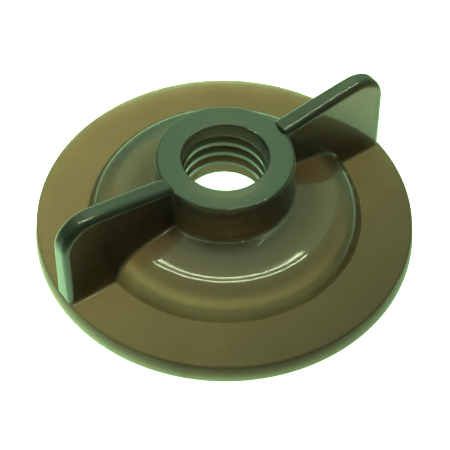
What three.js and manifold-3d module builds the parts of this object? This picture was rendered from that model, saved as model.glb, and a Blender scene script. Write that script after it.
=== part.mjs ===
// Flanged wing nut, moulded in one piece from dark translucent plastic.
// The nut is modelled as the regions of its moulding, each a closed solid with its own name:
// a flat seating flange, a dome standing on it over a shallow hollow, a hub with a threaded bore,
// and two wings.
// Millimetres, +Z up. The origin is the centre of the seating face, the wings lie along X.
import * as THREE from 'three';
import { mergeVertices } from 'three/addons/utils/BufferGeometryUtils.js';
import Module from 'manifold-3d';

const wasm = await Module();
wasm.setup();

// Flange: a flat disc whose edge flares a little towards its seating face.
const FLANGE_RADIUS = 20;
const FLANGE_THICKNESS = 2.33;
const FLANGE_FLARE = 0.2;
const FLANGE_EDGE_RADIUS = 0.3;

// Dome: a steep skirt, a round shoulder and a sloping crown.
const SKIRT_RADIUS = 14.6;
const SKIRT_LEAN = THREE.MathUtils.degToRad(16);
const CROWN_SLOPE = THREE.MathUtils.degToRad(11.5);
const CROWN_HEIGHT = 6.42;
const SHOULDER_RADIUS = 4.4;

// Hollow: a shallow recess under the dome, with a leaning wall, a round corner and a flat ceiling.
const HOLLOW_RADIUS = 13.2;
const HOLLOW_HEIGHT = 2.7;
const HOLLOW_LEAN = THREE.MathUtils.degToRad(12);
const HOLLOW_CORNER_RADIUS = 1.4;

// Hub: a drafted collar round the bore.
const HUB_TOP = 11.1;
const HUB_BASE_RADIUS = 7.28;
const HUB_TOP_RADIUS = 7.2;
const HUB_EDGE_RADIUS = 0.3;
const LINER_RADIUS = 5.5;

// Thread: metric M10 x 1.5, right hand. Its groove's middle climbs from THREAD_START, on the X axis,
// to THREAD_TOP. Above LEAD_IN_HEIGHT the bore is plain and widens a little towards its mouth.
const PITCH = 1.5;
const THREAD_START = 1.37;
const THREAD_TOP = 9.5;
const LEAD_IN_HEIGHT = 9.5;
const MAJOR_RADIUS = 5.05;
const MINOR_RADIUS = 4.3;
const CREST_WIDTH = PITCH / 3;
const FLANK_ANGLE = THREE.MathUtils.degToRad(30);
const MOUTH_RADIUS = 4.45;
const MOUTH_LIP_RADIUS = 0.2;
const COUNTERSINK = LINER_RADIUS - MINOR_RADIUS;
const GROOVE_OVERCUT = 0.2;

// Wings: drafted blades that start a little above the hub's top, rise outwards and end flush with
// the flange.
const WING_END = 19.9;
const WING_CORNER_RADIUS = 3.4;
const WING_CORNER_CENTRE_HEIGHT = 9.5;
const WING_ROOT_HEIGHT = 11.55;
const WING_ROOT_SLOPE = THREE.MathUtils.degToRad(9.6);
const WING_TIP_SLOPE = THREE.MathUtils.degToRad(5.7);
const WING_BASE_HALF_WIDTH = 1.43;
const WING_TOP_HALF_WIDTH = 1.08;
const WING_EDGE_RADIUS = 0.8;
const WING_SINK = 1;
const SEAM = 0.3;

const TURN_STEPS = 60;
const ARC_STEPS = 4;
const THREAD_STEPS_PER_TURN = 28;
const MERGE_TOLERANCE = 1e-4;

const PLASTIC = { flange: 0x5f5f42, dome: 0x6b6136, hub: 0x50694f, thread: 0x3e5041, wing: 0x2b2a22 };

function plastic(colour) {
  return new THREE.MeshStandardMaterial({ color: colour, roughness: 0.18, metalness: 0 });
}

// Points of a circular arc in the radius and height plane, both ends included.
function arc(centreRadius, centreHeight, radius, startAngle, endAngle) {
  const points = [];
  for (let i = 0; i <= ARC_STEPS; i++) {
    const angle = THREE.MathUtils.lerp(startAngle, endAngle, i / ARC_STEPS);
    const across = centreRadius + radius * Math.cos(angle);
    const up = centreHeight + radius * Math.sin(angle);
    points.push(new THREE.Vector2(across, up));
  }
  return points;
}

// Turns a closed outline of radius and height points about the Z axis.
function turned(outline) {
  const geometry = new THREE.LatheGeometry([...outline, outline[0]], TURN_STEPS);
  geometry.rotateX(Math.PI / 2);
  return geometry;
}

function toSolid(geometry) {
  const bare = geometry.clone();
  bare.deleteAttribute('normal');
  bare.deleteAttribute('uv');
  const merged = mergeVertices(bare, MERGE_TOLERANCE);
  const mesh = new wasm.Mesh({
    numProp: 3,
    vertProperties: new Float32Array(merged.attributes.position.array),
    triVerts: new Uint32Array(merged.index.array),
  });
  return new wasm.Manifold(mesh);
}

function toGeometry(solid) {
  const mesh = solid.getMesh();
  const geometry = new THREE.BufferGeometry();
  geometry.setAttribute('position', new THREE.BufferAttribute(mesh.vertProperties, 3));
  geometry.setIndex(new THREE.BufferAttribute(mesh.triVerts, 1));
  geometry.computeVertexNormals();
  return geometry;
}

function named(name, geometry, colour) {
  const mesh = new THREE.Mesh(geometry, plastic(colour));
  mesh.name = name;
  return mesh;
}

// The skirt and the crown are two straight lines in section, offset together by `inset`.
function skirtRadiusAt(height, inset) {
  return SKIRT_RADIUS - (height - FLANGE_THICKNESS) * Math.tan(SKIRT_LEAN) - inset / Math.cos(SKIRT_LEAN);
}

function crownHeightAt(radius, inset) {
  return CROWN_HEIGHT - (radius - HUB_BASE_RADIUS) * Math.tan(CROWN_SLOPE) - inset / Math.cos(CROWN_SLOPE);
}

// The shoulder's arc touches both lines when its centre lies on both lines moved in by its radius.
function shoulder(inset, radius) {
  const reach = inset + radius;
  const lean = Math.tan(SKIRT_LEAN);
  const slope = Math.tan(CROWN_SLOPE);
  const rise = crownHeightAt(0, reach) - FLANGE_THICKNESS;
  const across = (skirtRadiusAt(FLANGE_THICKNESS, reach) - lean * rise) / (1 - lean * slope);
  return arc(across, crownHeightAt(across, reach), radius, SKIRT_LEAN, Math.PI / 2 - CROWN_SLOPE);
}

// The round corner between the hollow's wall and its ceiling touches both. The plane of the
// flange's top cuts it in two: the lower part belongs to the flange, the upper part to the dome.
function hollowCorner(startAngle, endAngle) {
  const up = HOLLOW_HEIGHT - HOLLOW_CORNER_RADIUS;
  const across = HOLLOW_RADIUS - up * Math.tan(HOLLOW_LEAN) - HOLLOW_CORNER_RADIUS / Math.cos(HOLLOW_LEAN);
  return arc(across, up, HOLLOW_CORNER_RADIUS, startAngle, endAngle);
}

function hollowSplitAngle() {
  const aboveCentre = FLANGE_THICKNESS - (HOLLOW_HEIGHT - HOLLOW_CORNER_RADIUS);
  return Math.asin(aboveCentre / HOLLOW_CORNER_RADIUS);
}

function flangeDisc() {
  const cornerRadius = FLANGE_RADIUS - FLANGE_EDGE_RADIUS;
  const cornerHeight = FLANGE_THICKNESS - FLANGE_EDGE_RADIUS;
  return turned([
    new THREE.Vector2(HOLLOW_RADIUS, 0),
    new THREE.Vector2(FLANGE_RADIUS + FLANGE_FLARE, 0),
    ...arc(cornerRadius, cornerHeight, FLANGE_EDGE_RADIUS, 0, Math.PI / 2),
    ...hollowCorner(HOLLOW_LEAN, hollowSplitAngle()).reverse(),
  ]);
}

function domeRing() {
  return turned([
    new THREE.Vector2(SKIRT_RADIUS, FLANGE_THICKNESS),
    ...shoulder(0, SHOULDER_RADIUS),
    new THREE.Vector2(HUB_BASE_RADIUS, CROWN_HEIGHT),
    new THREE.Vector2(HUB_BASE_RADIUS, HOLLOW_HEIGHT),
    ...hollowCorner(hollowSplitAngle(), Math.PI / 2).reverse(),
  ]);
}

function hubCollar() {
  const edgeRadius = HUB_TOP_RADIUS - HUB_EDGE_RADIUS;
  const edgeHeight = HUB_TOP - HUB_EDGE_RADIUS;
  return turned([
    new THREE.Vector2(LINER_RADIUS, HOLLOW_HEIGHT),
    new THREE.Vector2(HUB_BASE_RADIUS, HOLLOW_HEIGHT),
    new THREE.Vector2(HUB_BASE_RADIUS, CROWN_HEIGHT),
    ...arc(edgeRadius, edgeHeight, HUB_EDGE_RADIUS, 0, Math.PI / 2),
    new THREE.Vector2(LINER_RADIUS, HUB_TOP),
  ]);
}

// A helix whose frames stay radial, so that a section swept along it keeps its angle to the axis.
class ThreadHelix extends THREE.Curve {
  constructor(startHeight, turns) {
    super();
    this.startHeight = startHeight;
    this.turns = turns;
  }

  getPoint(t, target = new THREE.Vector3()) {
    const angle = 2 * Math.PI * this.turns * t;
    const height = this.startHeight + PITCH * this.turns * t;
    return target.set(MINOR_RADIUS * Math.cos(angle), MINOR_RADIUS * Math.sin(angle), height);
  }

  getPointAt(t, target) {
    return this.getPoint(t, target);
  }

  computeFrenetFrames(segments) {
    const frames = { tangents: [], normals: [], binormals: [] };
    const down = new THREE.Vector3(0, 0, -1);
    for (let i = 0; i <= segments; i++) {
      const angle = (2 * Math.PI * this.turns * i) / segments;
      const outward = new THREE.Vector3(Math.cos(angle), Math.sin(angle), 0);
      frames.normals.push(outward);
      frames.binormals.push(down);
      frames.tangents.push(new THREE.Vector3().crossVectors(outward, down));
    }
    return frames;
  }
}

// The groove that a tap leaves: a V with a flat root, open towards the axis.
function threadGroove() {
  const mouthHalf = (PITCH - CREST_WIDTH) / 2;
  const depth = MAJOR_RADIUS - MINOR_RADIUS;
  const section = new THREE.Shape([
    new THREE.Vector2(-GROOVE_OVERCUT, -mouthHalf - GROOVE_OVERCUT * Math.tan(FLANK_ANGLE)),
    new THREE.Vector2(depth, -mouthHalf + depth * Math.tan(FLANK_ANGLE)),
    new THREE.Vector2(depth, mouthHalf - depth * Math.tan(FLANK_ANGLE)),
    new THREE.Vector2(-GROOVE_OVERCUT, mouthHalf + GROOVE_OVERCUT * Math.tan(FLANK_ANGLE)),
  ]);
  const turns = (THREAD_TOP - THREAD_START) / PITCH;
  const path = new ThreadHelix(THREAD_START, turns);
  const steps = Math.ceil(turns * THREAD_STEPS_PER_TURN);
  return new THREE.ExtrudeGeometry(section, { steps, extrudePath: path, bevelEnabled: false });
}

// The bore is countersunk below as wide as the liner, and has a rounded lip at its mouth.
function threadLiner() {
  const lipHeight = HUB_TOP - MOUTH_LIP_RADIUS;
  const blank = turned([
    new THREE.Vector2(LINER_RADIUS, HOLLOW_HEIGHT),
    new THREE.Vector2(LINER_RADIUS, HUB_TOP),
    ...arc(MOUTH_RADIUS + MOUTH_LIP_RADIUS, lipHeight, MOUTH_LIP_RADIUS, Math.PI / 2, Math.PI),
    new THREE.Vector2(MINOR_RADIUS, LEAD_IN_HEIGHT),
    new THREE.Vector2(MINOR_RADIUS, HOLLOW_HEIGHT + COUNTERSINK),
  ]);
  return toGeometry(toSolid(blank).subtract(toSolid(threadGroove())));
}

// Side view of the right wing, running on into the hub and the flange that trim it.
function wingOutline() {
  const cornerAcross = WING_END - WING_CORNER_RADIUS;
  const tipAngle = Math.PI / 2 + WING_TIP_SLOPE;
  const tipAcross = cornerAcross + WING_CORNER_RADIUS * Math.cos(tipAngle);
  const tipHeight = WING_CORNER_CENTRE_HEIGHT + WING_CORNER_RADIUS * Math.sin(tipAngle);
  const rise = tipHeight - WING_ROOT_HEIGHT - (tipAcross - HUB_TOP_RADIUS) * Math.tan(WING_TIP_SLOPE);
  const bendAcross = HUB_TOP_RADIUS + rise / (Math.tan(WING_ROOT_SLOPE) - Math.tan(WING_TIP_SLOPE));
  const bendHeight = WING_ROOT_HEIGHT + (bendAcross - HUB_TOP_RADIUS) * Math.tan(WING_ROOT_SLOPE);
  const outline = new THREE.Shape();
  outline.moveTo(LINER_RADIUS, FLANGE_THICKNESS - WING_SINK);
  outline.lineTo(WING_END, FLANGE_THICKNESS - WING_SINK);
  outline.absarc(cornerAcross, WING_CORNER_CENTRE_HEIGHT, WING_CORNER_RADIUS, 0, tipAngle, false);
  outline.quadraticCurveTo(bendAcross, bendHeight, HUB_TOP_RADIUS, WING_ROOT_HEIGHT);
  outline.lineTo(LINER_RADIUS, WING_ROOT_HEIGHT);
  return outline;
}

// The blade narrows evenly from its base to its top.
function applyDraft(geometry) {
  const position = geometry.attributes.position;
  const tipHeight = WING_CORNER_CENTRE_HEIGHT + WING_CORNER_RADIUS;
  for (let i = 0; i < position.count; i++) {
    const share = (position.getZ(i) - FLANGE_THICKNESS) / (tipHeight - FLANGE_THICKNESS);
    const halfWidth = THREE.MathUtils.lerp(WING_BASE_HALF_WIDTH, WING_TOP_HALF_WIDTH, share);
    position.setY(i, (position.getY(i) * halfWidth) / WING_BASE_HALF_WIDTH);
  }
}

// Everything that a wing stands against, a seam's width larger than the real surfaces.
function wingTrim() {
  const floor = FLANGE_THICKNESS - 2 * WING_SINK;
  const reach = 2 * FLANGE_RADIUS;
  const flange = turned([
    new THREE.Vector2(LINER_RADIUS / 2, floor),
    new THREE.Vector2(reach, floor),
    new THREE.Vector2(reach, FLANGE_THICKNESS),
    new THREE.Vector2(LINER_RADIUS / 2, FLANGE_THICKNESS),
  ]);
  const dome = turned([
    new THREE.Vector2(LINER_RADIUS / 2, floor),
    new THREE.Vector2(skirtRadiusAt(floor, -SEAM), floor),
    ...shoulder(-SEAM, SHOULDER_RADIUS + SEAM),
    new THREE.Vector2(LINER_RADIUS / 2, crownHeightAt(LINER_RADIUS / 2, -SEAM)),
  ]);
  const hub = turned([
    new THREE.Vector2(LINER_RADIUS / 2, floor),
    new THREE.Vector2(HUB_BASE_RADIUS + SEAM, floor),
    new THREE.Vector2(HUB_BASE_RADIUS + SEAM, CROWN_HEIGHT),
    new THREE.Vector2(HUB_TOP_RADIUS + SEAM, HUB_TOP - HUB_EDGE_RADIUS),
    new THREE.Vector2(HUB_TOP_RADIUS + SEAM, WING_ROOT_HEIGHT + WING_SINK),
    new THREE.Vector2(LINER_RADIUS / 2, WING_ROOT_HEIGHT + WING_SINK),
  ]);
  return toSolid(flange).add(toSolid(dome)).add(toSolid(hub));
}

function rightWing() {
  const bevel = WING_EDGE_RADIUS;
  const blade = new THREE.ExtrudeGeometry(wingOutline(), {
    depth: 2 * (WING_BASE_HALF_WIDTH - bevel),
    curveSegments: 2 * ARC_STEPS,
    bevelThickness: bevel,
    bevelSize: bevel,
    bevelOffset: -bevel,
    bevelSegments: 3,
  });
  blade.translate(0, 0, -(WING_BASE_HALF_WIDTH - bevel));
  blade.rotateX(Math.PI / 2);
  applyDraft(blade);
  return toGeometry(toSolid(blade).subtract(wingTrim()));
}

function leftWing() {
  return rightWing().rotateZ(Math.PI);
}

const wingNut = new THREE.Group();
wingNut.add(named('flange_disc', flangeDisc(), PLASTIC.flange));
wingNut.add(named('dome_ring', domeRing(), PLASTIC.dome));
wingNut.add(named('hub_collar', hubCollar(), PLASTIC.hub));
wingNut.add(named('thread_liner', threadLiner(), PLASTIC.thread));
wingNut.add(named('right_wing', rightWing(), PLASTIC.wing));
wingNut.add(named('left_wing', leftWing(), PLASTIC.wing));

export default wingNut;
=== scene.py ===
"""The looks of a flanged wing nut moulded in dark translucent plastic.

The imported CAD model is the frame: the sizes that a box round one of its nodes holds are read from
it, and the others repeat the CAD source. Lengths are in millimetres until Blender gets them, in
metres. Outlines are rows of radius and height.
"""

import math

import bpy
import numpy as np
from mathutils import Matrix, Vector


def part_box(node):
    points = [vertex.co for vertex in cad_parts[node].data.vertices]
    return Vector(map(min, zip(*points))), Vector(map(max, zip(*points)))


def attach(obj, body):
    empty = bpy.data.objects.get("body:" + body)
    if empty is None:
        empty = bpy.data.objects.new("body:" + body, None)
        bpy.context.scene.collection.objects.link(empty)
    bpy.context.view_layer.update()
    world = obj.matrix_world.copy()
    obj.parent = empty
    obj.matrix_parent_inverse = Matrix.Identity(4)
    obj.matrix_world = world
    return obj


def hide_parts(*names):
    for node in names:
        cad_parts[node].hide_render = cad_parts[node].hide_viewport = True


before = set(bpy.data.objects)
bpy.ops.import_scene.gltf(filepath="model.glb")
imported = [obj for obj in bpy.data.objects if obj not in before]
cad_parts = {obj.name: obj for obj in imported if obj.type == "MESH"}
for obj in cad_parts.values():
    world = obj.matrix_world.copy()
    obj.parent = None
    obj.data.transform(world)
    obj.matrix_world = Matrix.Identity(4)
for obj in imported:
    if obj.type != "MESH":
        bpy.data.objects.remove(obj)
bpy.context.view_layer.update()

MM = 0.001


def box_corners(node):
    """The lowest and the highest corner of a CAD node, in millimetres."""
    return [np.array(corner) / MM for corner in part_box(node)]


# ---------------------------------------------------------------- sizes

# Sizes read from the frame.
SEAT_RADIUS, _, FLANGE_TOP = box_corners("flange_disc")[1]
SKIRT_RADIUS, _, _ = box_corners("dome_ring")[1]
_, _, HOLLOW_HEIGHT = box_corners("hub_collar")[0]
HUB_BASE_RADIUS, _, HUB_TOP = box_corners("hub_collar")[1]
LINER_RADIUS, _, _ = box_corners("thread_liner")[1]
WING_END, WING_BASE_HALF_WIDTH, _ = box_corners("right_wing")[1]

# Sizes that a box doesn't hold, as the CAD source has them.
FLANGE_FLARE = 0.2  # how far the flange's foot stands out past its upper edge
FLANGE_RADIUS = SEAT_RADIUS - FLANGE_FLARE
FLANGE_EDGE_RADIUS = 0.3
SKIRT_LEAN = math.radians(16)
CROWN_SLOPE = math.radians(11.5)
CROWN_HEIGHT = 6.42
SHOULDER_RADIUS = 4.4
HOLLOW_RADIUS = 13.2
HOLLOW_LEAN = math.radians(12)
HOLLOW_CORNER_RADIUS = 1.4
HUB_TOP_RADIUS = 7.2
HUB_EDGE_RADIUS = 0.3
PITCH = 1.5
THREAD_START = 1.37
THREAD_TOP = 9.5
THREAD_DEPTH = 0.75
CREST_WIDTH = PITCH / 3
FLANK_ANGLE = math.radians(30)
MINOR_RADIUS = 4.3
LEAD_IN_HEIGHT = 9.5
MOUTH_RADIUS = 4.45
MOUTH_LIP_RADIUS = 0.2
WING_CORNER_RADIUS = 3.4
WING_CORNER_CENTRE_HEIGHT = 9.5
WING_ROOT_HEIGHT = 11.55
WING_ROOT_SLOPE = math.radians(9.6)
WING_TIP_SLOPE = math.radians(5.7)
WING_TOP_HALF_WIDTH = 1.08
WING_EDGE_RADIUS = 0.8
WING_SINK = 1.0  # how far the line of the wing's top is carried on into the hub

# Fillets, softer edges and fits that only the looks have.
SEAT_EDGE_RADIUS = 0.35
SKIRT_FOOT_FILLET = 0.1
CROWN_END_SLOPE = math.radians(13.9)  # the slightly bowed crown is this steep where it meets the shoulder
HUB_FOOT_FILLET = 0.45
GROOVE_RUN_OUT = 0.15  # the height over which the groove's top end fades out
WING_FILLET = 0.3
WING_END_EDGE_RADIUS = 0.65
WING_END_LEAN = 0.03  # how far the wing's end face stands out at its foot
HAIRLINE = 0.01  # how far two regions of the one moulding reach into each other, so that light passes on

TURN_STEPS = 240
BRIDGE_STEPS = 6  # across the wing's edges, from one face to the other
SHARP_ANGLE = math.radians(35)


# ---------------------------------------------------------------- outlines

def arc(across, up, radius, start, end, steps):
    """Points of a circular arc, both ends included."""
    angles = np.linspace(start, end, steps + 1)
    return np.column_stack([across + radius * np.cos(angles), up + radius * np.sin(angles)])


def line(start, end, steps):
    return np.linspace(start, end, steps + 1)


def bow(start, steer, end, steps):
    """A curve that leaves start towards steer and reaches end from steer."""
    t = np.linspace(0, 1, steps + 1)[:, None]
    return (1 - t) ** 2 * start + 2 * t * (1 - t) * steer + t**2 * end


def path(*stretches):
    """Joins points and stretches of points into one, leaving out points that repeat."""
    points = np.vstack([np.atleast_2d(s) for s in stretches])
    keep = np.ones(len(points), bool)
    keep[1:] = np.linalg.norm(np.diff(points, axis=0), axis=1) > 1e-6
    return points[keep]


def flange_edge(start=0.0, end=math.pi / 2, steps=8):
    """The flange's rounded upper edge, or the part of it between two angles."""
    across, up = FLANGE_RADIUS - FLANGE_EDGE_RADIUS, FLANGE_TOP - FLANGE_EDGE_RADIUS
    return arc(across, up, FLANGE_EDGE_RADIUS, start, end, steps)


def skirt_radius_at(height, inset=0.0):
    return SKIRT_RADIUS - (height - FLANGE_TOP) * math.tan(SKIRT_LEAN) - inset / math.cos(SKIRT_LEAN)


def crown_height_at(radius, inset=0.0):
    return CROWN_HEIGHT - (radius - HUB_BASE_RADIUS) * math.tan(CROWN_SLOPE) - inset / math.cos(CROWN_SLOPE)


def skirt_foot():
    """The fillet from the flange's top up to the skirt."""
    up = FLANGE_TOP + SKIRT_FOOT_FILLET
    across = skirt_radius_at(up) + SKIRT_FOOT_FILLET / math.cos(SKIRT_LEAN)
    return arc(across, up, SKIRT_FOOT_FILLET, -math.pi / 2, -math.pi + SKIRT_LEAN, steps=8)


def shoulder():
    """The arc from the skirt to the crown, round the centre that lies one radius inside both lines."""
    lean, slope = math.tan(SKIRT_LEAN), math.tan(CROWN_SLOPE)
    rise = crown_height_at(0, SHOULDER_RADIUS) - FLANGE_TOP
    across = (skirt_radius_at(FLANGE_TOP, SHOULDER_RADIUS) - lean * rise) / (1 - lean * slope)
    up = crown_height_at(across, SHOULDER_RADIUS)
    return arc(across, up, SHOULDER_RADIUS, SKIRT_LEAN, math.pi / 2 - CROWN_END_SLOPE, steps=24)


def dome_outside():
    """The shoulder and the crown, from the skirt in to the hub's foot."""
    bend = shoulder()
    outer, inner = bend[-1], hub_foot()[0]
    middle = (inner[0] + outer[0]) / 2
    steer = np.array([middle, outer[1] + (outer[0] - middle) * math.tan(CROWN_END_SLOPE)])
    return path(bend, bow(outer, steer, inner, steps=40))


def hub_foot():
    """The fillet from the crown up to the hub's wall."""
    across = HUB_BASE_RADIUS + HUB_FOOT_FILLET
    up = crown_height_at(across) + HUB_FOOT_FILLET / math.cos(CROWN_SLOPE)
    return arc(across, up, HUB_FOOT_FILLET, -math.pi / 2 - CROWN_SLOPE, -math.pi, steps=8)


def hub_edge():
    """The rounded outer edge of the hub's top."""
    across, up = HUB_TOP_RADIUS - HUB_EDGE_RADIUS, HUB_TOP - HUB_EDGE_RADIUS
    return arc(across, up, HUB_EDGE_RADIUS, 0, math.pi / 2, steps=12)


def hollow_corner(start, end):
    """The round corner between the hollow's leaning wall and its flat ceiling, between two angles."""
    up = HOLLOW_HEIGHT - HOLLOW_CORNER_RADIUS
    across = HOLLOW_RADIUS - up * math.tan(HOLLOW_LEAN) - HOLLOW_CORNER_RADIUS / math.cos(HOLLOW_LEAN)
    return arc(across, up, HOLLOW_CORNER_RADIUS, start, end, steps=16)


def hollow_corner_angle(height):
    """The angle at which the hollow's corner passes a height."""
    return math.asin((height - HOLLOW_HEIGHT + HOLLOW_CORNER_RADIUS) / HOLLOW_CORNER_RADIUS)


# ---------------------------------------------------------------- meshes

def make_object(name, vertices, faces):
    """A closed mesh object, made in metres and shaded smooth but for its sharp edges."""
    mesh = bpy.data.meshes.new(name)
    mesh.from_pydata([tuple(v) for v in np.asarray(vertices) * MM], [], [tuple(f) for f in faces])
    mesh.update()
    mesh.polygons.foreach_set("use_smooth", np.ones(len(faces), bool))
    mesh.set_sharp_from_angle(angle=SHARP_ANGLE)
    piece = bpy.data.objects.new(name, mesh)
    bpy.context.scene.collection.objects.link(piece)
    return piece


def around(radius, height):
    """Places rings of points about the Z axis. The radius may differ from one turn step to the next."""
    angles = np.arange(TURN_STEPS) * 2 * math.pi / TURN_STEPS
    radius = np.broadcast_to(radius, (TURN_STEPS, len(height)))
    return np.stack([
        np.cos(angles)[:, None] * radius,
        np.sin(angles)[:, None] * radius,
        np.broadcast_to(height, radius.shape),
    ], axis=2)


def ring_faces(count):
    """Faces between the turn steps of a closed outline of count points, anticlockwise in section."""
    faces = []
    for i in range(TURN_STEPS):
        here, there = i * count, (i + 1) % TURN_STEPS * count
        for k in range(count):
            n = (k + 1) % count
            faces.append((here + k, there + k, there + n, here + n))
    return faces


def revolve(name, outline):
    vertices = around(outline[:, 0], outline[:, 1]).reshape(-1, 3)
    return make_object(name, vertices, ring_faces(len(outline)))


# ---------------------------------------------------------------- flange, dome, hub and bore

def build_flange():
    across, up = SEAT_RADIUS - SEAT_EDGE_RADIUS, SEAT_EDGE_RADIUS
    outline = path(
        (HOLLOW_RADIUS, 0),
        arc(across, up, SEAT_EDGE_RADIUS, -math.pi / 2, 0, steps=6),
        flange_edge(),
        line(flange_edge()[-1], (skirt_foot()[0, 0], FLANGE_TOP), steps=6),
        hollow_corner(HOLLOW_LEAN, hollow_corner_angle(FLANGE_TOP))[::-1],
    )
    return revolve("flange_disc_moulded", outline)


def build_dome():
    floor = FLANGE_TOP - HAIRLINE
    wall = HUB_BASE_RADIUS - HAIRLINE
    foot = skirt_foot() - (0, HAIRLINE)
    outside = dome_outside()
    outline = path(
        foot,
        line(foot[-1], outside[0], steps=3),
        outside,
        (wall, crown_height_at(wall)),
        (wall, HOLLOW_HEIGHT),
        hollow_corner(hollow_corner_angle(floor), math.pi / 2)[::-1],
    )
    return revolve("dome_ring_moulded", outline)


def build_hub():
    bore = LINER_RADIUS - HAIRLINE
    foot = hub_foot() - (0, HAIRLINE)
    edge = hub_edge()
    outline = path(
        (bore, HOLLOW_HEIGHT),
        (HUB_BASE_RADIUS, HOLLOW_HEIGHT),
        (HUB_BASE_RADIUS, crown_height_at(HUB_BASE_RADIUS) - HAIRLINE),
        foot,
        line(foot[-1], edge[0], steps=8),
        edge,
        line(edge[-1], (bore, HUB_TOP), steps=3),
    )
    return revolve("hub_collar_moulded", outline)


def bore_wall(height):
    """The bore's radius before the thread is cut: countersink, crests, widening lead-in and lip."""
    lip_start = HUB_TOP - MOUTH_LIP_RADIUS
    if height > lip_start:
        rise = height - lip_start
        return MOUTH_RADIUS + MOUTH_LIP_RADIUS - math.sqrt(max(0.0, MOUTH_LIP_RADIUS**2 - rise**2))
    widening = (MOUTH_RADIUS - MINOR_RADIUS) * (height - LEAD_IN_HEIGHT) / (lip_start - LEAD_IN_HEIGHT)
    countersink = LINER_RADIUS - (height - HOLLOW_HEIGHT)
    return max(MINOR_RADIUS, MINOR_RADIUS + widening, countersink)


def groove_depth(height, turn):
    """Depth of the right-hand V groove at a height and a share of a turn from the X axis."""
    middle = THREAD_START + PITCH * (turn + np.round((height - THREAD_START) / PITCH - turn))
    from_crest = (PITCH - CREST_WIDTH) / 2 - np.abs(height - middle)
    cut = np.clip(from_crest / math.tan(FLANK_ANGLE), 0, THREAD_DEPTH)
    return cut * np.clip((THREAD_TOP - middle) / GROOVE_RUN_OUT, 0, 1)


def build_liner(wall_points=280, lip_points=12):
    wall_heights = np.linspace(HOLLOW_HEIGHT, HUB_TOP - MOUTH_LIP_RADIUS, wall_points)
    lip_heights = HUB_TOP - MOUTH_LIP_RADIUS * (1 - np.sin(np.linspace(0, math.pi / 2, lip_points)))
    heights = np.concatenate([wall_heights, lip_heights[1:]])
    turns = np.arange(TURN_STEPS)[:, None] / TURN_STEPS
    plain = np.array([bore_wall(h) for h in heights])[None, :]
    threaded = np.maximum(plain, MINOR_RADIUS + groove_depth(heights[None, :], turns))
    inside = around(threaded, heights)
    outside = around(np.full(2, LINER_RADIUS), np.array([HOLLOW_HEIGHT - HAIRLINE, HUB_TOP]))
    vertices = np.concatenate([outside, inside[:, ::-1]], axis=1)
    return make_object("thread_liner_moulded", vertices.reshape(-1, 3), ring_faces(vertices.shape[1]))


# ---------------------------------------------------------------- wings

def round_off(distance, radius):
    """How far a surface falls back at a distance from an edge rounded to radius."""
    short = np.clip(radius - distance, 0, radius)
    return radius - np.sqrt(radius**2 - short**2)


def distance_to(points, polyline):
    """Distance from each point to a polyline."""
    start, step = polyline[:-1], np.diff(polyline, axis=0)
    length = (step**2).sum(1)
    share = ((points[:, None, :] - start[None]) * step[None]).sum(2) / length[None]
    nearest = start[None] + np.clip(share, 0, 1)[:, :, None] * step[None]
    return np.sqrt(((points[:, None, :] - nearest) ** 2).sum(2)).min(1)


def resample(polyline, shares):
    """Points at given shares of a polyline's length."""
    lengths = np.concatenate([[0], np.cumsum(np.linalg.norm(np.diff(polyline, axis=0), axis=1))])
    places = np.asarray(shares) * lengths[-1]
    return np.column_stack([np.interp(places, lengths, polyline[:, c]) for c in range(2)])


def closing_in(steps):
    """Shares from 0 to 1 that crowd at both ends, where the fillets are."""
    return (1 - np.cos(math.pi * np.arange(steps + 1) / steps)) / 2


def beyond(polyline, radius):
    """The part of an outward polyline past a radius, starting there."""
    height = np.interp(radius, polyline[:, 0], polyline[:, 1])
    return path((radius, height), polyline[polyline[:, 0] > radius])


def wing_top():
    """The wing's upper edge, from inside the hub outwards, and the round corner that follows it."""
    across = WING_END - WING_CORNER_RADIUS
    start = math.pi / 2 + WING_TIP_SLOPE
    corner = arc(across, WING_CORNER_CENTRE_HEIGHT, WING_CORNER_RADIUS, start, 0, steps=48)
    tip, root = corner[0], np.array([HUB_TOP_RADIUS, WING_ROOT_HEIGHT])
    root_rise, tip_rise = math.tan(WING_ROOT_SLOPE), math.tan(WING_TIP_SLOPE)
    run = (tip[1] - root[1] - (tip[0] - root[0]) * tip_rise) / (root_rise - tip_rise)
    steer = root + (run, run * root_rise)
    inside = root - WING_SINK * np.array([1, root_rise])
    return path(inside, bow(root, steer, tip, steps=40)), corner


def wing_sides():
    """The four sides of the wing's outline: at the hub, the top, the end and the foot."""
    fillet, edge = hub_foot(), hub_edge()
    middle = len(fillet) // 2
    top_line, corner = wing_top()
    top_line = beyond(top_line, edge[-1, 0])
    half = len(corner) // 2
    over_edge = WING_END + WING_END_LEAN - (FLANGE_RADIUS - FLANGE_EDGE_RADIUS)
    rim = flange_edge(math.pi / 2, math.acos(over_edge / FLANGE_EDGE_RADIUS), steps=6)

    hub_side = path(fillet[middle:], edge, line(edge[-1], top_line[0], steps=4))
    top = path(top_line, corner[: half + 1])
    end = path(rim[-1], corner[half:][::-1])
    foot = path(fillet[: middle + 1][::-1], dome_outside()[::-1], skirt_foot()[::-1], rim)
    return hub_side, top, end, foot


def fill_between(hub_side, top, end, foot, across_steps=110, up_steps=64):
    """A grid of points between four sides, by transfinite interpolation."""
    u, v = closing_in(across_steps), closing_in(up_steps)
    low, high = resample(foot, u), resample(top, u)
    left, right = resample(hub_side, v), resample(end, v)
    U, V = u[:, None, None], v[None, :, None]
    straight = (1 - V) * low[:, None] + V * high[:, None] + (1 - U) * left[None] + U * right[None]
    corners = (1 - U) * (1 - V) * low[0] + U * (1 - V) * low[-1] + (1 - U) * V * high[0] + U * V * high[-1]
    return straight - corners


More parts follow.
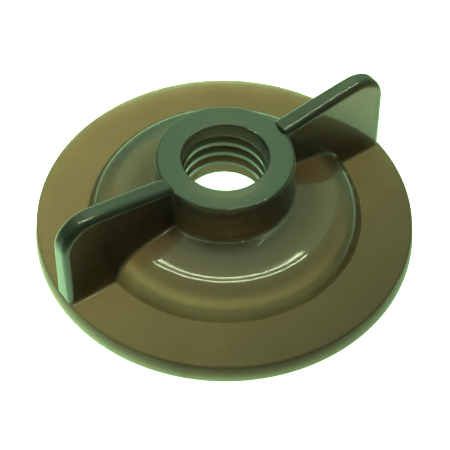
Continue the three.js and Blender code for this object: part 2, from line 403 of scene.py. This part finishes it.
def drafted_half_width(height):
    """Half the wing's width at a height, before its edges are rounded."""
    share = (height - FLANGE_TOP) / (WING_CORNER_CENTRE_HEIGHT + WING_CORNER_RADIUS - FLANGE_TOP)
    return WING_BASE_HALF_WIDTH + (WING_TOP_HALF_WIDTH - WING_BASE_HALF_WIDTH) * share


def wing_grid():
    """The wing's middle plane as columns and rows of points, and its half width at each point."""
    hub_side, top, end, foot = wing_sides()
    grid = fill_between(hub_side, top, end, foot)
    points = grid.reshape(-1, 2)
    from_free_edge = distance_to(points, path(hub_edge()[-1], top, end[::-1]))
    from_neighbour = distance_to(points, path(hub_edge()[::-1], hub_side[0], foot))
    up_corner = np.clip((points[:, 1] - WING_CORNER_CENTRE_HEIGHT) / WING_CORNER_RADIUS, 0, 1)
    blend = up_corner**2 * (3 - 2 * up_corner)
    rounding = WING_END_EDGE_RADIUS + (WING_EDGE_RADIUS - WING_END_EDGE_RADIUS) * blend
    width = drafted_half_width(points[:, 1])
    width = width - round_off(from_free_edge, rounding) + round_off(from_neighbour, WING_FILLET)
    sunk = points - HAIRLINE * np.clip(1 - from_neighbour, 0, 1)[:, None]
    return sunk.reshape(grid.shape), width


def grid_rim(columns, rows):
    """The numbers of a grid's outer points in order round it. Points are numbered column by column."""
    return np.array(
        [c * rows for c in range(columns - 1, 0, -1)]
        + list(range(rows))
        + [c * rows + rows - 1 for c in range(1, columns)]
        + [(columns - 1) * rows + r for r in range(rows - 2, 0, -1)]
    )


def build_wing(name, side):
    """The wing towards +X, or for a side of -1 towards -X: two faces, and a bridge round their rim."""
    grid, width = wing_grid()
    columns, rows = grid.shape[:2]
    flat = grid.reshape(-1, 2)
    count = len(flat)

    def placed(which, share):
        """Points at a share of the half width, kept at their distance from the axis."""
        y = width[which] * share
        return np.column_stack([side * np.sqrt(flat[which, 0] ** 2 - y**2), side * y, flat[which, 1]])

    every, rim = np.arange(count), grid_rim(columns, rows)
    vertices = [placed(every, 1), placed(every, -1)]
    faces = []
    for c in range(columns - 1):
        for r in range(rows - 1):
            a, b = c * rows + r, (c + 1) * rows + r
            faces.append((a, a + 1, b + 1, b))
            faces.append((count + b, count + b + 1, count + a + 1, count + a))
    rims = [rim]
    for k in range(1, BRIDGE_STEPS):
        rims.append(sum(len(v) for v in vertices) + np.arange(len(rim)))
        vertices.append(placed(rim, 1 - 2 * k / BRIDGE_STEPS))
    rims.append(count + rim)
    for this, following in zip(rims[:-1], rims[1:]):
        for i in range(len(rim)):
            j = (i + 1) % len(rim)
            faces.append((following[i], following[j], this[j], this[i]))
    return make_object(name, np.vstack(vertices), faces)


# ---------------------------------------------------------------- shader graphs

class Graph:
    """The node tree of a material or a world, while it is built."""

    def __init__(self, owner):
        owner.use_nodes = True
        self.nodes, self.links = owner.node_tree.nodes, owner.node_tree.links
        self.nodes.clear()

    def add(self, kind, sockets=None, **settings):
        """Adds a node. Each of its named or numbered sockets gets a link or a fixed value."""
        node = self.nodes.new("ShaderNode" + kind)
        for name, value in settings.items():
            setattr(node, name, value)
        for socket, value in (sockets or {}).items():
            if isinstance(value, bpy.types.NodeSocket):
                self.links.new(value, node.inputs[socket])
            else:
                node.inputs[socket].default_value = value
        return node

    def maths(self, operation, *values):
        return self.add("Math", dict(enumerate(values)), operation=operation).outputs[0]

    def vector(self, operation, *values):
        node = self.add("VectorMath", dict(enumerate(values)), operation=operation)
        return node.outputs["Value" if operation in ("DOT_PRODUCT", "LENGTH") else "Vector"]

    def ramp(self, value, stops):
        """A grey level that follows value through (place, level) stops."""
        node = self.add("ValToRGB", {0: value})
        elements = node.color_ramp.elements
        for _ in stops[2:]:
            elements.new(0.5)
        for element, (spot, level) in zip(elements, stops):
            element.position = spot
            element.color = (level, level, level, 1)
        return node.outputs[0]

    def noise(self, place, per_mm, detail=3.0):
        """A noise pattern with so many features to the millimetre."""
        sockets = {"Vector": place, "Scale": per_mm / MM, "Detail": detail}
        return self.add("TexNoise", sockets).outputs["Fac"]

    def spread(self, pattern, low, high):
        """Stretches the middle of a noise pattern's range to the range from low to high."""
        sockets = {"Value": pattern, "To Min": low, "To Max": high}
        sockets["From Min"], sockets["From Max"] = NOISE_MIDDLE
        return self.add("MapRange", sockets).outputs["Result"]

    def bump(self, pattern, depth, over=None):
        """The normal of a pattern's relief, on top of another bump's if there is one."""
        sockets = {"Strength": 1.0, "Distance": depth * MM, "Height": pattern}
        if over is not None:
            sockets["Normal"] = over
        return self.add("Bump", sockets).outputs[0]


# ---------------------------------------------------------------- plastic

REFRACTIVE_INDEX = 1.5
ABSORPTION_COLOUR = (0.4, 0.2, 0.062, 1)
ABSORPTION_PER_MM = 1.45
TINT_CLOUDED = (0.8, 0.78, 0.74, 1)
TINT_CLEAR = (1.0, 1.0, 1.0, 1)
BODY_SHINE = 0.4  # the body's own reflection, as a share of what its refractive index would give
PEEL_DEPTH = 0.004  # the slow waviness of a moulded skin
NOISE_MIDDLE = (0.3, 0.7)  # the range that most of a noise pattern lies in


def plastic(name, haze, coat, grain_depth):
    """Dark amber translucent plastic.

    haze is the range of the blur in what is seen through it, coat the strength and roughness of its
    smooth skin, and grain_depth the depth of its fine texture.
    """
    material = bpy.data.materials.new(name)
    graph = Graph(material)
    place = graph.add("TexCoord").outputs["Object"]
    clouds = graph.spread(graph.noise(place, per_mm=0.25), 0.0, 0.6)
    mottling = graph.spread(graph.noise(place, per_mm=3.0), 0.0, 0.4)
    share = graph.maths("ADD", clouds, mottling)
    tint = graph.add("Mix", {0: share, 6: TINT_CLOUDED, 7: TINT_CLEAR}, data_type="RGBA")
    peel = graph.bump(graph.noise(place, per_mm=0.9, detail=1.0), PEEL_DEPTH)
    skin = graph.bump(graph.noise(place, per_mm=7.0, detail=2.0), grain_depth, over=peel)
    body = graph.add("BsdfPrincipled", {
        "Base Color": tint.outputs[2],
        "Roughness": graph.spread(graph.noise(place, per_mm=1.4), *haze),
        "IOR": REFRACTIVE_INDEX,
        "Transmission Weight": 1.0,
        "Specular Tint": (BODY_SHINE, BODY_SHINE, BODY_SHINE, 1),
        "Coat Weight": coat[0],
        "Coat Roughness": coat[1],
        "Normal": skin,
        "Coat Normal": skin,
    })
    absorb = graph.add("VolumeAbsorption", {"Color": ABSORPTION_COLOUR, "Density": ABSORPTION_PER_MM / MM})
    graph.add("OutputMaterial", {"Surface": body.outputs[0], "Volume": absorb.outputs[0]})
    return material


# ---------------------------------------------------------------- camera

CAMERA_AZIMUTH = math.radians(-35.3)
CAMERA_ELEVATION = math.radians(50.44)
CAMERA_ROLL = math.radians(0.83)
CAMERA_DISTANCE = 8 * FLANGE_RADIUS
CAMERA_LENS = 118.8
CAMERA_SENSOR = 36.0
CAMERA_SHIFT = (0.0015, 0.0019)
CAMERA_CLIP_START = 10.0

# Level directions away from the camera and across its picture, and the direction up to it.
AWAY = Vector((-math.sin(CAMERA_AZIMUTH), math.cos(CAMERA_AZIMUTH), 0))
ACROSS = Vector((math.cos(CAMERA_AZIMUTH), math.sin(CAMERA_AZIMUTH), 0))
TO_CAMERA = -AWAY * math.cos(CAMERA_ELEVATION) + Vector((0, 0, math.sin(CAMERA_ELEVATION)))


def build_camera():
    camera = bpy.data.cameras.new("camera")
    camera.lens = CAMERA_LENS
    camera.sensor_width = CAMERA_SENSOR
    camera.clip_start = CAMERA_CLIP_START * MM
    camera.shift_x, camera.shift_y = CAMERA_SHIFT
    eye = bpy.data.objects.new("camera", camera)
    bpy.context.scene.collection.objects.link(eye)
    level_up = TO_CAMERA.cross(ACROSS)
    right = ACROSS * math.cos(CAMERA_ROLL) + level_up * math.sin(CAMERA_ROLL)
    up = level_up * math.cos(CAMERA_ROLL) - ACROSS * math.sin(CAMERA_ROLL)
    turn = Matrix((right, up, TO_CAMERA)).transposed().to_4x4()
    eye.matrix_world = Matrix.Translation(TO_CAMERA * CAMERA_DISTANCE * MM) @ turn
    bpy.context.scene.camera = eye


# ---------------------------------------------------------------- light

LIGHT_COLOUR = (0.557, 1.0, 0.509, 1)
LAMP_COLOUR = (0.85, 1.0, 0.62, 1)

# The floor glows like a light table. FLOOR_GLOW is its brightness as a share of its power, by distance
# from the middle as a share of FLOOR_REACH. From the flange's edge outwards, the far left is brighter
# and the near right darker by the share FLOOR_LEAN.
FLOOR_HALF_WIDTH = 3000.0
FLOOR_DROP = 2 * HAIRLINE
FLOOR_REACH = 60.0
FLOOR_GLOW = [(0.0, 1.0), (0.55, 1.0), (0.75, 0.25), (1.0, 0.25)]
FLOOR_POWER = 3.7
FLOOR_LEAN = 0.62
FLOOR_MIRRORED = 0.6  # how bright the floor is in a reflection, as a share of its power
FLOOR_SEEN = 3.0  # the least brightness that the camera sees, which is past white

# The studio's brightness as a share of its peak, by the sine of the tilt of the surface that mirrors it.
STUDIO_PEAK = 3.2
STUDIO = [
    (0.0, 1.0), (0.04, 0.94), (0.1, 0.69), (0.15, 0.5), (0.2, 0.37), (0.235, 0.36), (0.255, 0.55),
    (0.315, 0.6), (0.355, 0.4), (0.4, 0.3), (0.47, 0.24), (0.6, 0.2), (0.7, 0.14), (0.8, 0.1),
    (0.9, 0.06), (1.0, 0.04),
]

# A lamp of two curved tubes, by the same tilt. LAMP_ENDS fades it to either side, by how far that
# surface turns from facing the camera: a tangent, as a share of LAMP_TURN.
LAMP_POWER = 26.0
LAMP = [
    (0.0, 0.0), (0.2585, 0.0), (0.262, 1.0), (0.276, 1.0), (0.284, 0.02), (0.335, 0.02), (0.344, 1.0),
    (0.36, 1.0), (0.369, 0.0),
]
LAMP_TURN = 2.0
LAMP_ENDS = [(0.0, 1.0), (0.54, 1.0), (0.6, 0.0)]


def build_floor():
    """A light table: white for the camera, and an uneven glow for the light that passes through the nut."""
    mesh = bpy.data.meshes.new("floor")
    reach = FLOOR_HALF_WIDTH * MM
    corners = [(-reach, -reach, 0), (reach, -reach, 0), (reach, reach, 0), (-reach, reach, 0)]
    mesh.from_pydata(corners, [], [(0, 1, 2, 3)])
    floor = bpy.data.objects.new("floor", mesh)
    floor.location.z = -FLOOR_DROP * MM
    bpy.context.scene.collection.objects.link(floor)

    material = bpy.data.materials.new("floor")
    graph = Graph(material)
    place = graph.add("TexCoord").outputs["Object"]
    distance = graph.maths("DIVIDE", graph.vector("LENGTH", place), FLOOR_REACH * MM)
    far_left = (AWAY - ACROSS).normalized() * (FLOOR_LEAN / (FLANGE_RADIUS * MM))
    lean = graph.maths("ADD", graph.vector("DOT_PRODUCT", place, far_left), 1.0)
    lean = graph.maths("MAXIMUM", lean, 1 - FLOOR_LEAN)
    lean = graph.maths("MINIMUM", lean, 1 + FLOOR_LEAN)
    ray = graph.add("LightPath").outputs
    mirrored = ray["Is Reflection Ray"]
    not_mirrored = graph.maths("SUBTRACT", 1.0, mirrored)
    share = graph.maths(
        "ADD",
        graph.maths("MULTIPLY", lean, not_mirrored),
        graph.maths("MULTIPLY", mirrored, FLOOR_MIRRORED),
    )
    level = graph.maths("MULTIPLY", graph.ramp(distance, FLOOR_GLOW), share)
    level = graph.maths("MULTIPLY", level, FLOOR_POWER)
    seen = graph.maths("MULTIPLY", ray["Is Camera Ray"], FLOOR_SEEN)
    strength = graph.maths("MAXIMUM", level, seen)
    glow = graph.add("Emission", {"Color": LIGHT_COLOUR, "Strength": strength})
    graph.add("OutputMaterial", {"Surface": glow.outputs[0]})
    floor.data.materials.append(material)


def build_surroundings():
    """White for the camera. For the light it is a soft studio, described by the slope that mirrors it.

    A direction is judged by the half-way direction between it and TO_CAMERA: its tilt from upright is
    the slope of the surface that shows this part of the studio to the scene's own camera. The studio
    stays where it is when another view moves the camera.
    """
    world = bpy.data.worlds.new("studio")
    bpy.context.scene.world = world
    graph = Graph(world)
    direction = graph.add("TexCoord").outputs["Generated"]
    half_way = graph.vector("NORMALIZE", graph.vector("ADD", direction, TO_CAMERA))
    level_part = graph.vector("MULTIPLY", half_way, Vector((1, 1, 0)))
    tilt = graph.vector("LENGTH", level_part)
    near = graph.maths("MULTIPLY", graph.vector("DOT_PRODUCT", level_part, AWAY), -1.0)
    near = graph.maths("MAXIMUM", near, 0.001)  # a surface that faces away gets a large turn, past the lamp
    sideways = graph.maths("ABSOLUTE", graph.vector("DOT_PRODUCT", level_part, ACROSS))
    turn = graph.maths("DIVIDE", sideways, near)

    soft = graph.maths("MULTIPLY", graph.ramp(tilt, STUDIO), STUDIO_PEAK)
    ends = graph.ramp(graph.maths("DIVIDE", turn, LAMP_TURN), LAMP_ENDS)
    lamp = graph.maths("MULTIPLY", graph.ramp(tilt, LAMP), ends)
    lamp = graph.maths("MULTIPLY", lamp, LAMP_POWER)
    studio = graph.add("Background", {"Color": LIGHT_COLOUR, "Strength": soft})
    tubes = graph.add("Background", {"Color": LAMP_COLOUR, "Strength": lamp})
    light = graph.add("AddShader", {0: studio.outputs[0], 1: tubes.outputs[0]})
    white = graph.add("Background", {"Color": (1, 1, 1, 1)})
    seen = graph.add("LightPath").outputs["Is Camera Ray"]
    mix = graph.add("MixShader", {0: seen, 1: light.outputs[0], 2: white.outputs[0]})
    graph.add("OutputWorld", {"Surface": mix.outputs[0]})
    bpy.context.scene.view_settings.view_transform = "Standard"


# ---------------------------------------------------------------- the scene

def finish_piece(piece, material, node):
    piece.data.materials.append(material)
    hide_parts(node)
    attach(piece, "root")


build_camera()
build_floor()
build_surroundings()
glossy = plastic("glossy_plastic", haze=(0.42, 0.5), coat=(0.65, 0.03), grain_depth=0.001)
satin = plastic("satin_plastic", haze=(0.55, 0.65), coat=(0.0, 0.3), grain_depth=0.006)
finish_piece(build_flange(), satin, "flange_disc")
finish_piece(build_dome(), glossy, "dome_ring")
finish_piece(build_hub(), glossy, "hub_collar")
finish_piece(build_liner(), glossy, "thread_liner")
finish_piece(build_wing("right_wing_moulded", 1), glossy, "right_wing")
finish_piece(build_wing("left_wing_moulded", -1), glossy, "left_wing")
